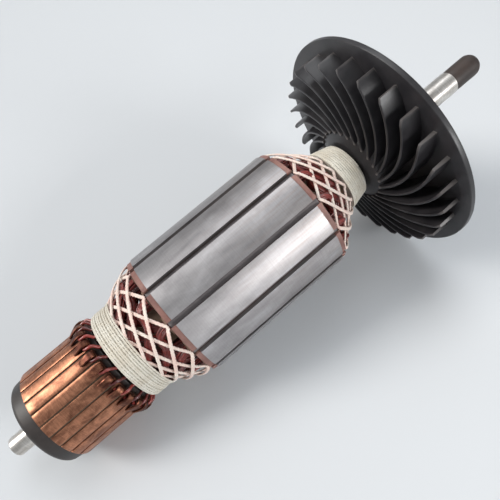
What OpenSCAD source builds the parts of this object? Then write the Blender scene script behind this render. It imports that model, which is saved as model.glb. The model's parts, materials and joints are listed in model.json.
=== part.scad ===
// Wound armature of a 230 mm class angle grinder motor.
// Every sub-part is drawn along its own shaft axis, with the commutator-end tip at
// station 0, and is then laid on the floor, where the fan rim and the commutator carry it.

/* [Core] */
// Outer diameter of the lamination stack
core_d = 54; // [53.6:0.1:54.6]
// Length of the lamination stack
core_len = 63.5; // [60:0.5:66]
// Width of a slot opening at the ground surface
slot_opening = 2.3; // [2:0.1:3]
// Diameter of the wide, outer end of a slot
slot_outer_d = 8; // [7.8:0.1:8.4]
// Diameter of the narrow, inner end of a slot
slot_inner_d = 5.8; // [5.6:0.1:6.2]
// Thickness of the insulating plate at each end of the stack
end_plate_t = 2; // [1.5:0.1:2.4]
// Thickness of the slot lining paper
liner_t = 0.25; // [0.2:0.01:0.3]

/* [Shaft] */
// Diameter of the bearing seat at the commutator end
front_journal_d = 8; // [7:0.1:9]
// Length of the bearing seat at the commutator end
front_journal_len = 14; // [12:0.5:15]
// Diameter of the shaft under the commutator, the core and the fan
shaft_d = 12; // [11.4:0.1:12.6]
// Diameter of the bearing seat at the drive end
drive_journal_d = 10; // [9.4:0.1:11]
// Diameter of the turned-down end inside the protective cap
spigot_d = 8; // [7:0.1:8.2]
// Length of the protective cap
cap_len = 15.5; // [13:0.5:17]
// Wall of the insulating tube between shaft and stack
tube_wall = 2; // [1.6:0.1:2.2]

/* [Commutator] */
// Diameter of the copper running surface
commutator_d = 38.6; // [37.6:0.1:39.2]
// Length of a copper bar
bar_len = 29; // [27:0.5:30]
// Gap between copper bars that the mica fills, measured at the surface
mica_gap = 0.6; // [0.4:0.05:0.9]
// Depth of the groove over each mica strip
mica_undercut = 0.5; // [0.3:0.05:0.8]
// Thickness of the moulded collar in front of the copper
front_collar_t = 6; // [5:0.5:7]
// Diameter of a lead wire
lead_d = 1.1; // [0.9:0.05:1.15]

/* [Winding and lacing] */
// Thickness of a coil across its slot
coil_width = 4.6; // [4.2:0.1:4.8]
// Height of one coil layer along the radius
coil_height = 3; // [2.7:0.1:3.1]
// Width of the flat lacing cord
cord_w = 1.5; // [1:0.1:1.6]
// Thickness of the flat lacing cord
cord_t = 0.9; // [0.7:0.05:1]
// Width of the binding band behind the commutator
front_band_w = 7.6; // [6.4:0.1:8]

/* [Fan] */
// Diameter of the fan
fan_d = 98; // [94:1:102]
// Number of fan blades
blade_count = 27; // [23:1:29]
// Diameter of the circle that the blade tips lie on
blade_tips_d = 87; // [82:1:90]
// Height of a blade tip above the fan disc
blade_height = 8; // [7:0.5:9]
// How much further forward a blade stands at the hub than at its tip
blade_rise = 3.5; // [2:0.5:4.5]
// Thickness of a blade
blade_t = 1.3; // [1:0.1:1.5]
// Angle between the tip and the root of a blade, in degrees
blade_sweep = 47; // [43:1:50]
// Thickness of the fan disc
disc_t = 2.2; // [1.8:0.1:3]

/* [Hidden] */
$fn = 96;
slot_count = 12;
slot_pitch = 360 / slot_count;
bars_per_slot = 2;
bar_count = slot_count * bars_per_slot;
bar_pitch = 360 / bar_count;

// Lengths that make up the stations.
hub_lip = 1.6;
lead_gap = 1.2;
front_overhang = 16;
rear_overhang = 16.5;
rear_band_len = 9.5;
fan_gap = 1.2;
hub_face = 0.9;
fan_boss = 1.8;
drive_journal_len = 42.3;

// Stations along the shaft, from the commutator-end tip.
collar_z = front_journal_len;
bars_z = collar_z + front_collar_t;
bars_end = bars_z + bar_len;
hub_end = bars_end + hub_lip;
front_band_z = hub_end + lead_gap;
front_band_end = front_band_z + front_band_w;
core_z = front_band_end + front_overhang + end_plate_t;
core_end = core_z + core_len;
front_plate_face = core_z - end_plate_t;
rear_plate_face = core_end + end_plate_t;
rear_band_z = rear_plate_face + rear_overhang;
rear_band_end = rear_band_z + rear_band_len;
fan_z = rear_band_end + fan_gap;
disc_z = fan_z + hub_face + blade_rise + blade_height;
fan_end = disc_z + disc_t + fan_boss;
cap_z = fan_end + drive_journal_len;
shaft_len = cap_z + cap_len;

// Radii.
core_r = core_d / 2;
shaft_r = shaft_d / 2;
tube_r = shaft_r + tube_wall;
copper_r = commutator_d / 2;
bar_depth = 5.9;
foot_r = copper_r - bar_depth;
hook_height = 2.1;
hook_r = copper_r + hook_height;
plate_margin = 0.5;
plate_r = core_r - plate_margin;
band_over_copper = 0.6;
band_r = copper_r + band_over_copper;
band_t = 1.3;
band_bore_r = band_r - band_t;
lead_r = band_bore_r - lead_d / 2;
rear_band_rise = 6.6;
rear_band_small_rise = 4.2;
rear_band_r = tube_r + rear_band_rise;
rear_band_small_r = tube_r + rear_band_small_rise;
fan_r = fan_d / 2;
fan_edge = 0.3;
tip_r = blade_tips_d / 2;
root_r = 17;

// Slots.
slot_outer_r = slot_outer_d / 2;
slot_inner_r = slot_inner_d / 2;
slot_lip = 1.6;
slot_depth_step = 4.3;
slot_outer_c = core_r - slot_lip - slot_outer_r;
slot_inner_c = slot_outer_c - slot_depth_step;
wedge_lift = 2.6;
wedge_r = slot_outer_c + wedge_lift;

// Coils.
coil_span = 5;
half_span = coil_span * slot_pitch / 2;
wedge_gap = 0.4;
layer_gap = 0.9;
coil_top_r = wedge_r - coil_height / 2 - wedge_gap;
coil_low_r = coil_top_r - coil_height - layer_gap;
slot_exit = 1.2;

// Lacing.
lacing_steps = 8;
rim_margin = 0.5;
rim_r = plate_r - rim_margin;
layer = 1.4 * cord_t;
lacing_curl = 0.3;
front_fullness = 0.75;
rear_fullness = 0.2;

// How the armature lies: the fan rim and the front edge of the copper touch the floor.
collar_edge = 1;
collar_step = 1.4;
rim_z = disc_z + fan_edge;
function lie_to(s, r) = atan((fan_r - r) / (rim_z - s));
lie = min(
    lie_to(bars_z, copper_r),
    lie_to(collar_z + collar_edge, copper_r - collar_step),
    lie_to(core_z, core_r),
    lie_to(bars_end, hook_r)
);
roll = 2.6;
bar_turn = 3.5;
fan_turn = 4.5;
axis_height = fan_r * cos(lie) - rim_z * sin(lie);
tip_chamfer = 0.8;
cap_chamfer = 1.5;
cap_crown = 0.3;
cap_clearance = 0.35;
cap_r = drive_journal_d / 2 - cap_clearance;
cap_end_t = 2;
spigot_chamfer = 1;
reach = shaft_len * cos(lie) + (cap_r - cap_chamfer) * sin(lie);
back = (front_journal_d / 2 - tip_chamfer) * sin(lie);
centre_shift = (reach - back) / 2;

// Lays a sub-part drawn along its axis on the floor.
module lay() {
    translate([-centre_shift, 0, axis_height])
        rotate([0, 90 - lie, 0])
            rotate([0, 0, roll])
                children();
}

function on_axis(r, angle, z) = [r * cos(angle), r * sin(angle), z];
function mix(a, b, t) = a + (b - a) * t;
function unit(v) = v / norm(v);

// Section corners, given as [across, up], carried to one point of a path. Up points away
// from the shaft, leaning along it where the path lies on a cone.
function section_at(path, i, section, closed, lean) =
    let (
        n = len(path),
        before = closed ? path[(i + n - 1) % n] : path[max(i - 1, 0)],
        after = closed ? path[(i + 1) % n] : path[min(i + 1, n - 1)],
        along = unit(after - before),
        outward = unit([path[i][0], path[i][1], 0]) + [0, 0, lean],
        across = unit(cross(along, outward)),
        up = cross(across, along)
    )
    [for (s = section) path[i] + s[0] * across + s[1] * up];

// Side faces between two neighbouring rings of k corners.
function side_faces(a, b, k) = [
    for (j = [0 : k - 1])
        let (m = (j + 1) % k)
        each [[a + j, a + m, b + m], [a + j, b + m, b + j]]
];

// A bar swept along an open path, with flat ends.
module swept(path, section) {
    k = len(section);
    n = len(path);
    corners = [for (i = [0 : n - 1]) each section_at(path, i, section, false, 0)];
    sides = [for (i = [0 : n - 2]) each side_faces(i * k, (i + 1) * k, k)];
    start = [[for (j = [k - 1 : -1 : 0]) j]];
    finish = [[for (j = [0 : k - 1]) (n - 1) * k + j]];
    polyhedron(corners, concat(sides, start, finish));
}

// A bar swept along a closed path, whose section and lean may change from point to point.
module swept_loop(path, sections, leans) {
    k = len(sections[0]);
    n = len(path);
    corners = [for (i = [0 : n - 1]) each section_at(path, i, sections[i], true, leans[i])];
    sides = [for (i = [0 : n - 1]) each side_faces(i * k, ((i + 1) % n) * k, k)];
    polyhedron(corners, sides);
}

function round_section(r, k) = [for (j = [0 : k - 1]) [r * cos(j * 360 / k), r * sin(j * 360 / k)]];

// ---- Shaft ----

module shaft() {
    color("silver") lay() rotate_extrude() polygon([
        [0, 0],
        [front_journal_d / 2 - tip_chamfer, 0],
        [front_journal_d / 2, tip_chamfer],
        [front_journal_d / 2, collar_z],
        [shaft_r, collar_z],
        [shaft_r, fan_end],
        [drive_journal_d / 2, fan_end],
        [drive_journal_d / 2, cap_z],
        [spigot_d / 2, cap_z],
        [spigot_d / 2, shaft_len - cap_end_t - spigot_chamfer],
        [spigot_d / 2 - spigot_chamfer, shaft_len - cap_end_t],
        [0, shaft_len - cap_end_t]
    ]);
}

module shaft_end_cap() {
    color("dimgray") lay() rotate_extrude() polygon([
        [spigot_d / 2, cap_z],
        [cap_r, cap_z],
        [cap_r, shaft_len - cap_chamfer],
        [cap_r - cap_chamfer * cap_crown, shaft_len - cap_chamfer * cap_crown],
        [cap_r - cap_chamfer, shaft_len],
        [0, shaft_len],
        [0, shaft_len - cap_end_t],
        [spigot_d / 2 - spigot_chamfer, shaft_len - cap_end_t],
        [spigot_d / 2, shaft_len - cap_end_t - spigot_chamfer]
    ]);
}

module shaft_insulation_tube() {
    color("wheat") lay() rotate_extrude() polygon([
        [shaft_r, hub_end],
        [tube_r, hub_end],
        [tube_r, rear_band_end],
        [shaft_r, rear_band_end]
    ]);
}

// ---- Core ----

// Pear-shaped slot with its outer end towards +x, drawn smaller by an inset.
module slot_shape(inset) {
    translate([slot_outer_c, 0]) circle(slot_outer_r - inset, $fn = 48);
    translate([slot_inner_c, 0]) circle(slot_inner_r - inset, $fn = 48);
    flank = asin((slot_outer_r - slot_inner_r) / (slot_outer_c - slot_inner_c));
    outer = [slot_outer_c, 0] + (slot_outer_r - inset) * [-sin(flank), cos(flank)];
    inner = [slot_inner_c, 0] + (slot_inner_r - inset) * [-sin(flank), cos(flank)];
    polygon([outer, inner, [inner[0], -inner[1]], [outer[0], -outer[1]]]);
}

module slot_mouth() {
    translate([slot_outer_c, -slot_opening / 2]) square([core_r, slot_opening]);
}

module around_slots() {
    for (i = [0 : slot_count - 1]) rotate(i * slot_pitch) children();
}

module lamination_stack() {
    color("gainsboro") lay() translate([0, 0, core_z]) linear_extrude(core_len) difference() {
        circle(core_r, $fn = 180);
        circle(tube_r);
        around_slots() {
            slot_shape(0);
            slot_mouth();
        }
    }
}

module end_plate(z) {
    lay() translate([0, 0, z]) linear_extrude(end_plate_t) difference() {
        circle(plate_r, $fn = 120);
        circle(tube_r);
        around_slots() {
            slot_shape(0);
            slot_mouth();
        }
    }
}

module front_end_plate() {
    color("rosybrown") end_plate(front_plate_face);
}

module rear_end_plate() {
    color("rosybrown") end_plate(core_end);
}

module slot_liners() {
    stand_out = 0.8;
    color("tan") lay() translate([0, 0, front_plate_face - stand_out])
        linear_extrude(rear_plate_face - front_plate_face + 2 * stand_out)
            around_slots() difference() {
                slot_shape(0);
                slot_shape(liner_t);
                slot_mouth();
            }
}

module slot_wedges() {
    color("dimgray") lay() translate([0, 0, front_plate_face])
        linear_extrude(rear_plate_face - front_plate_face)
            around_slots() intersection() {
                slot_shape(liner_t);
                translate([wedge_r, -slot_outer_r]) square([slot_outer_r, slot_outer_d]);
            }
}

// ---- Winding ----

// Six-sided section, for the coil sides in their round slots and for the flat cord.
function flat_section(width, height) = [
    [width / 2, 0],
    [width / 3, height / 2],
    [-width / 3, height / 2],
    [-width / 2, 0],
    [-width / 3, -height / 2],
    [width / 3, -height / 2]
];

// One end turn, from the outer layer of a slot over the nose to the inner layer of another.
end_steps = [0, 0.2, 0.5, 0.8, 0.95];
nose = end_steps[len(end_steps) - 1];
outer_pinch = 0.4;
inner_pinch = 0.6;

function layer_radius(slot_r, nose_r, droop, t) = mix(slot_r, nose_r, pow(t, droop));

function outer_half(face, length, nose_r, droop, dir) = [
    for (t = end_steps)
        on_axis(
            layer_radius(coil_top_r, nose_r, droop, t) - (t >= nose ? outer_pinch : 0),
            half_span * t,
            face + dir * length * t
        )
];

function inner_half(face, length, nose_r, droop, dir) = [
    for (i = [len(end_steps) - 1 : -1 : 0])
        let (t = end_steps[i])
        on_axis(
            layer_radius(coil_low_r, nose_r, droop, t) + (t >= nose ? inner_pinch : 0),
            2 * half_span - half_span * t,
            face + dir * length * t
        )
];

function nose_point(face, length, outer_r, inner_r, dir) =
    [on_axis((outer_r + inner_r) / 2, half_span, face + dir * length)];

function end_turn(face, length, outer_r, inner_r, droop, dir) = concat(
    outer_half(face, length, outer_r, droop, dir),
    nose_point(face, length, outer_r, inner_r, dir),
    inner_half(face, length, inner_r, droop, dir)
);

// Heights are taken over the insulating tube, and widths across the bundle at the nose.
front_nose_gap = 1.8;
rear_nose_gap = 2.4;
front_nose_rise = 6.2;
front_low_rise = 2.5;
rear_nose_rise = 4.7;
rear_low_rise = 1.6;
front_nose_w = 3.8;
rear_nose_w = 2.9;
rear_nose_h = 0.8 * coil_height;
front_droop = 1;
rear_droop = 0.8;
front_turn_z = front_plate_face - slot_exit;
rear_turn_z = rear_plate_face + slot_exit;
front_turn = front_turn_z - front_band_z - front_nose_gap;
rear_turn = rear_band_z - rear_nose_gap - rear_turn_z;
front_nose_r = tube_r + front_nose_rise;
front_low_r = tube_r + front_low_rise;
rear_nose_r = tube_r + rear_nose_rise;
rear_low_r = tube_r + rear_low_rise;

function reversed(list) = [for (i = [len(list) - 1 : -1 : 0]) list[i]];

// A coil narrows from its slot towards the nose, where the coils crowd round the shaft.
function end_sections(width, height) =
    let (
        one_way = [
            for (t = end_steps)
                let (near_nose = min(1, 4 * t))
                flat_section(mix(coil_width, width, near_nose), mix(coil_height, height, near_nose))
        ]
    )
    concat(one_way, [flat_section(width, height)], reversed(one_way));

coil_path = concat(
    end_turn(front_turn_z, front_turn, front_nose_r, front_low_r, front_droop, -1),
    reversed(end_turn(rear_turn_z, rear_turn, rear_nose_r, rear_low_r, rear_droop, 1))
);
coil_sections = concat(
    end_sections(front_nose_w, coil_height),
    end_sections(rear_nose_w, rear_nose_h)
);

// Inside the slots a coil side is upright; on an overhang it leans with the cone.
function end_leans(lean) =
    let (last = 2 * len(end_steps))
    [for (i = [0 : last]) i == 0 || i == last ? 0 : lean];

coil_leans = concat(
    end_leans(-(coil_top_r - front_nose_r) / front_turn),
    end_leans((coil_top_r - rear_nose_r) / rear_turn)
);

module coil(i) {
    color("sienna") lay() rotate([0, 0, i * slot_pitch]) swept_loop(coil_path, coil_sections, coil_leans);
}

// ---- Commutator ----

// Points of the bar foot that the moulding grips, from the front to the rear.
notch = 1.8;
foot_inset = 0.8;
neck_r = copper_r - 2.2;
notch_r = copper_r - 3.4;
barb_r = copper_r - 4.4;
bar_foot = [
    [neck_r, bars_z],
    [notch_r, bars_z + notch],
    [barb_r, bars_z + foot_inset],
    [foot_r, bars_z + foot_inset],
    [foot_r, bars_end - foot_inset],
    [barb_r, bars_end - foot_inset],
    [notch_r, bars_end - notch],
    [neck_r, bars_end]
];

mica_angle = mica_gap / copper_r * 180 / PI;
hook_angle = 7;
hook_len = 6.2;
hook_sink = 0.8;
hook_toe = 0.6;
hook_knee = 1.1;
hook_bend = 1.4;
hook_swell = 0.1;
wire_clearance = 0.02;
wire_back = 2.3;
wire_seat_z = bars_end - wire_back;
wire_seat_r = copper_r + lead_d / 2 + wire_clearance;

// The hot-pressed hook over a lead wire, as a profile of radius and station.
module hook_profile() {
    difference() {
        polygon([
            [copper_r - hook_sink, bars_end],
            [hook_r, bars_end],
            [hook_r + hook_swell, bars_end - hook_bend],
            [copper_r + hook_knee, bars_end - hook_len + hook_toe],
            [copper_r + hook_toe, bars_end - hook_len],
            [copper_r - hook_sink, bars_end - hook_len]
        ]);
        translate([wire_seat_r, wire_seat_z]) circle(lead_d / 2 + wire_clearance, $fn = 24);
    }
}

module commutator_bar(i) {
    color("peru") lay() rotate([0, 0, bar_turn + (i + 0.5) * bar_pitch]) {
        rotate([0, 0, mica_angle / 2]) rotate_extrude(angle = bar_pitch - mica_angle)
            polygon(concat(bar_foot, [[copper_r, bars_end], [copper_r, bars_z]]));
        rotate([0, 0, (bar_pitch - hook_angle) / 2]) rotate_extrude(angle = hook_angle)
            hook_profile();
    }
}

module mica_strips() {
    top_r = copper_r - mica_undercut;
    color("darkkhaki") lay() for (i = [0 : bar_count - 1])
        rotate([0, 0, bar_turn + (i + 0.5) * bar_pitch - mica_angle / 2])
            rotate_extrude(angle = mica_angle)
                polygon(concat(bar_foot, [[top_r, bars_end], [top_r, bars_z]]));
}

hub_recess = 2;
collar_round = 2.6;
collar_lip = 0.9;

module commutator_hub() {
    color("darkslategray") lay() rotate_extrude() polygon(concat(
        [
            [shaft_r, hub_end],
            [shaft_r, collar_z + collar_edge],
            [shaft_r + hub_recess, collar_z],
            [copper_r - collar_round, collar_z],
            [copper_r - collar_step, collar_z + collar_edge],
            [copper_r - collar_lip, bars_z]
        ],
        bar_foot,
        [[neck_r, hub_end]]
    ));
}

// ---- Lead wires ----

// A lead is pinched by its hook, leaves it sideways and dips under the binding band. The
// angles are counted from the middle of the bar.
lead_turns = [-4, 4.5, 7, 10, 12, 21];
lead_lift = 0.75;
lead_clear = 0.4;
lead_end = 1;

function lead_path(start) = [
    on_axis(wire_seat_r, start + lead_turns[0], wire_seat_z),
    on_axis(wire_seat_r, start + lead_turns[1], wire_seat_z),
    on_axis(copper_r + lead_lift, start + lead_turns[2], bars_end + lead_clear),
    on_axis(lead_r + lead_clear, start + lead_turns[3], front_band_z - lead_end),
    on_axis(lead_r, start + lead_turns[4], front_band_z),
    on_axis(lead_r, start + lead_turns[5], front_band_end - lead_end)
];

module lead_wires() {
    color("brown") lay() for (i = [0 : bar_count - 1])
        swept(lead_path(bar_turn + (i + 1) * bar_pitch), round_section(lead_d / 2, 6));
}

// ---- Binding bands ----

band_edge = 1;
band_front_round = 0.4;
band_rear_round = 0.3;
rear_band_swell = 0.6;
rear_band_round = 0.4;
rear_band_edge = 1.4;

module front_binding_band() {
    color("ivory") lay() rotate_extrude() polygon([
        [band_bore_r, front_band_z],
        [band_r - band_front_round, front_band_z],
        [band_r, front_band_z + band_edge],
        [band_r, front_band_end - band_edge],
        [band_r - band_rear_round, front_band_end],
        [band_bore_r, front_band_end]
    ]);
}

module rear_binding_band() {
    color("ivory") lay() rotate_extrude() polygon([
        [tube_r, rear_band_z],
        [rear_band_r, rear_band_z],
        [rear_band_small_r + rear_band_swell, rear_band_end - rear_band_edge],
        [rear_band_small_r - rear_band_round, rear_band_end],
        [tube_r, rear_band_end]
    ]);
}

// ---- Lacing ----

// Height of the laced dome over its smaller end, with t from 0 at the band to 1 at the core.
function dome(fullness, t) = (1 - fullness) * t + fullness * sin(90 * t);

// One cord runs from band to rim and back all the way round. It turns at every slot and
// passes under itself on the way to the rim and over itself on the way to the band.
function lacing_path(start_z, end_z, end_r, fullness) = [
    for (k = [0 : slot_count - 1])
        for (i = [1 - lacing_steps : lacing_steps])
            let (
                t = abs(i) / lacing_steps,
                turning = i == 0 || i == lacing_steps,
                drop = turning ? layer / 2 : i < 0 ? layer : 0,
                swing = (1 - lacing_curl) * t + lacing_curl * t * t,
                angle = k * 2 * half_span + sign(i) * half_span * swing
            )
            on_axis(
                mix(end_r, rim_r, dome(fullness, 1 - t)) - drop,
                angle,
                mix(start_z, end_z, t)
            )
];

module lacing_net(start_z, end_z, end_r, fullness) {
    path = lacing_path(start_z, end_z, end_r, fullness);
    lean = (rim_r - end_r) / (end_z - start_z);
    swept_loop(path, [for (p = path) flat_section(cord_w, cord_t)], [for (p = path) lean]);
}

module front_lacing_net() {
    color("linen") lay() lacing_net(
        front_plate_face - cord_w / 2,
        front_band_end + cord_w / 2,
        band_r - cord_t / 2,
        front_fullness
    );
}

module rear_lacing_net() {
    color("linen") lay() lacing_net(
        rear_plate_face + cord_w / 2,
        rear_band_z - cord_w / 2,
        rear_band_r - cord_t / 2,
        rear_fullness
    );
}

// ---- Fan ----

// Blades follow one arc from the tip to the root, drawn in the plane of the disc. It bulges
// outward, so that a blade keeps nearly the same slant to the radius all the way.
tip_point = [tip_r, 0];
root_point = root_r * [cos(blade_sweep), sin(blade_sweep)];
chord = root_point - tip_point;
blade_bow = 29;
blade_arc_r = norm(chord) / 2 / sin(blade_bow);
chord_normal = [-chord[1], chord[0]] / norm(chord);
blade_centre = (tip_point + root_point) / 2 + chord_normal * blade_arc_r * cos(blade_bow);
crest_z = fan_z + hub_face;
root_hold = 1;

// The fan hub flares back in a hollow cone from its face to the disc.
hub_face_r = tube_r + 4.4;
hub_rim_r = root_r - 0.5;
hub_rim_drop = 0.8;
flare_r = root_r + 2;
flare_drop = 4.5;
flare_foot_r = root_r + 6;
flare_foot_rise = 1;
disc_flat_r = root_r + 11;
boss_foot_r = tube_r + 3;
boss_r = tube_r + 2;

module blade_shape() {
    intersection() {
        difference() {
            translate(blade_centre) circle(blade_arc_r + blade_t / 2, $fn = 180);
            translate(blade_centre) circle(blade_arc_r - blade_t / 2, $fn = 180);
        }
        translate([0, -tip_r / 4]) square([tip_r * 1.2, tip_r]);
    }
}

// The room the blades fill: from inside the hub to the tips, under a crest that slopes back.
module blade_room() {
    rotate_extrude($fn = 180) polygon([
        [root_r - root_hold, crest_z],
        [tip_r, crest_z + blade_rise],
        [tip_r, disc_z + disc_t / 2],
        [root_r - root_hold, disc_z + disc_t / 2]
    ]);
}

module fan() {
    color("dimgray") lay() {
        intersection() {
            translate([0, 0, fan_z]) linear_extrude(fan_end - fan_z)
                for (i = [0 : blade_count - 1]) rotate(i * 360 / blade_count + fan_turn) blade_shape();
            blade_room();
        }
        rotate_extrude($fn = 180) polygon([
            [shaft_r, fan_z],
            [hub_face_r, fan_z],
            [hub_rim_r, crest_z + hub_rim_drop],
            [flare_r, crest_z + flare_drop],
            [flare_foot_r, disc_z - flare_foot_rise],
            [disc_flat_r, disc_z],
            [fan_r - fan_edge, disc_z],
            [fan_r, rim_z],
            [fan_r, disc_z + disc_t - fan_edge],
            [fan_r - fan_edge, disc_z + disc_t],
            [boss_foot_r, disc_z + disc_t],
            [boss_r, fan_end],
            [shaft_r, fan_end]
        ]);
    }
}

shaft();
shaft_end_cap();
lamination_stack();
shaft_insulation_tube();
front_end_plate();
rear_end_plate();
slot_liners();
slot_wedges();
coil(0);  // coil_01
coil(1);  // coil_02
coil(2);  // coil_03
coil(3);  // coil_04
coil(4);  // coil_05
coil(5);  // coil_06
coil(6);  // coil_07
coil(7);  // coil_08
coil(8);  // coil_09
coil(9);  // coil_10
coil(10);  // coil_11
coil(11);  // coil_12
lead_wires();
commutator_hub();
mica_strips();
commutator_bar(0);  // commutator_bar_01
commutator_bar(1);  // commutator_bar_02
commutator_bar(2);  // commutator_bar_03
commutator_bar(3);  // commutator_bar_04
commutator_bar(4);  // commutator_bar_05
commutator_bar(5);  // commutator_bar_06
commutator_bar(6);  // commutator_bar_07
commutator_bar(7);  // commutator_bar_08
commutator_bar(8);  // commutator_bar_09
commutator_bar(9);  // commutator_bar_10
commutator_bar(10);  // commutator_bar_11
commutator_bar(11);  // commutator_bar_12
commutator_bar(12);  // commutator_bar_13
commutator_bar(13);  // commutator_bar_14
commutator_bar(14);  // commutator_bar_15
commutator_bar(15);  // commutator_bar_16
commutator_bar(16);  // commutator_bar_17
commutator_bar(17);  // commutator_bar_18
commutator_bar(18);  // commutator_bar_19
commutator_bar(19);  // commutator_bar_20
commutator_bar(20);  // commutator_bar_21
commutator_bar(21);  // commutator_bar_22
commutator_bar(22);  // commutator_bar_23
commutator_bar(23);  // commutator_bar_24
front_binding_band();
front_lacing_net();
rear_binding_band();
rear_lacing_net();
fan();
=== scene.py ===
"""Motor armature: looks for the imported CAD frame.

Every piece is drawn in millimetres along the armature's own axis, with the commutator-end
tip at station 0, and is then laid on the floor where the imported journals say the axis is.
"""
import json
import math
import random
from collections import namedtuple

import bpy
from mathutils import Matrix, Vector


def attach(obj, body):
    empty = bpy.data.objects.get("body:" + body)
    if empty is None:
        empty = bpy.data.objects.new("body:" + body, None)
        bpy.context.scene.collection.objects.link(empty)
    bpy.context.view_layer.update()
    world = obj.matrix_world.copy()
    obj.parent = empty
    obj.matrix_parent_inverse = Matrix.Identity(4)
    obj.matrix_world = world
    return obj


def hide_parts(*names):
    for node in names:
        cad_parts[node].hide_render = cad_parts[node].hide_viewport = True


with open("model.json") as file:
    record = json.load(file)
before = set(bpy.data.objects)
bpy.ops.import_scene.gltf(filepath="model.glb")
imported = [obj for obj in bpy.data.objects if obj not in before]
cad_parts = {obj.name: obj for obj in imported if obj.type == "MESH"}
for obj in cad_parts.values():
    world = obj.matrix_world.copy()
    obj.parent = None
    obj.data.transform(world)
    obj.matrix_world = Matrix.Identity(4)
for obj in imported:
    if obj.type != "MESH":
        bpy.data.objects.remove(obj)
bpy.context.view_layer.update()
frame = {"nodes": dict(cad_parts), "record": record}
nodes = frame["nodes"]
mounts = {m["name"]: m for m in frame["record"]["mounts"]}
rng = random.Random(7)

# ---------------------------------------------------------------- sizes, in mm
# Stations along the axis.
TIP_CHAMFER = 0.8
COLLAR_Z, BARS_Z, BARS_END, HUB_END = 14.0, 20.0, 49.0, 50.6
BAND_Z, BAND_END = 51.8, 59.4
FRONT_FACE, CORE_Z, REAR_FACE = 75.4, 77.4, 142.9
REAR_BAND_Z, REAR_BAND_END = 159.4, 168.9
FAN_Z, CREST_Z, DISC_Z, DISC_END, FAN_END = 170.1, 171.0, 182.5, 184.7, 186.5
CAP_Z, SPIGOT_END, SHAFT_LEN = 228.8, 242.3, 244.3

# Radii.
JOURNAL_R, DRIVE_R, SHAFT_R, TUBE_R = 4.0, 5.0, 6.0, 8.0
RIM_R = 26.0
COPPER_R, FOOT_R = 19.3, 13.4
NECK_R, NOTCH_R, BARB_R = COPPER_R - 2.2, COPPER_R - 3.4, COPPER_R - 4.4
BAND_R, BAND_BORE_R = 19.9, 18.6
REAR_BAND_R, REAR_BAND_SMALL_R = 14.6, 12.2
COIL_TOP_R, COIL_LOW_R = 22.1, 18.2
FAN_R, TIP_R, ROOT_R = 49.0, 43.5, 17.0

# Counts and turns about the axis, in degrees.
SLOTS, BARS, BLADES = 12, 24, 27
SLOT_PITCH, BAR_PITCH = 360 / SLOTS, 360 / BARS
HALF_SPAN = 5 * SLOT_PITCH / 2
ROLL, BAR_TURN, FAN_TURN = 2.6, 3.5, 4.5

# Commutator.
MICA_GAP = 0.6
NOTCH, FOOT_INSET = 1.8, 0.8
LEAD_R, LEAD_D = 18.05, 1.1

# Winding and lacing.
SLOT_EXIT = 1.2
COIL_W, COIL_H = 4.6, 3.0
CORD_W, CORD_T, LACING_LAYER = 1.5, 0.9, 1.26

# Blades.
BLADE_RISE, BLADE_SWEEP, BLADE_BOW = 3.5, 47.0, 29.0

# ---------------------------------------------------------------- placing
axis = Vector(mounts["drive_journal"]["axis"]).normalized()
tip = Vector(mounts["commutator_journal"]["pos_m"]) - axis * (TIP_CHAMFER + COLLAR_Z) / 2000
lie = math.asin(axis.z)
LAY = (
    Matrix.Translation(tip)
    @ Matrix.Rotation(math.pi / 2 - lie, 4, "Y")
    @ Matrix.Rotation(math.radians(ROLL), 4, "Z")
    @ Matrix.Scale(0.001, 4)
)


def station(s):
    """Point of the axis at a station, in metres."""
    return tip + axis * s / 1000


def polar(r, angle, z):
    a = math.radians(angle)
    return Vector((r * math.cos(a), r * math.sin(a), z))


def mix(a, b, t):
    return a + (b - a) * t


# ---------------------------------------------------------------- materials
# Radius in mm of the circle that patterns wrapped round the axis are taken on.
WRAP_R = 20


def srgb(r, g, b):
    def one(c):
        c /= 255
        return c / 12.92 if c <= 0.04045 else ((c + 0.055) / 1.055) ** 2.4
    return (one(r), one(g), one(b), 1.0)


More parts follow.
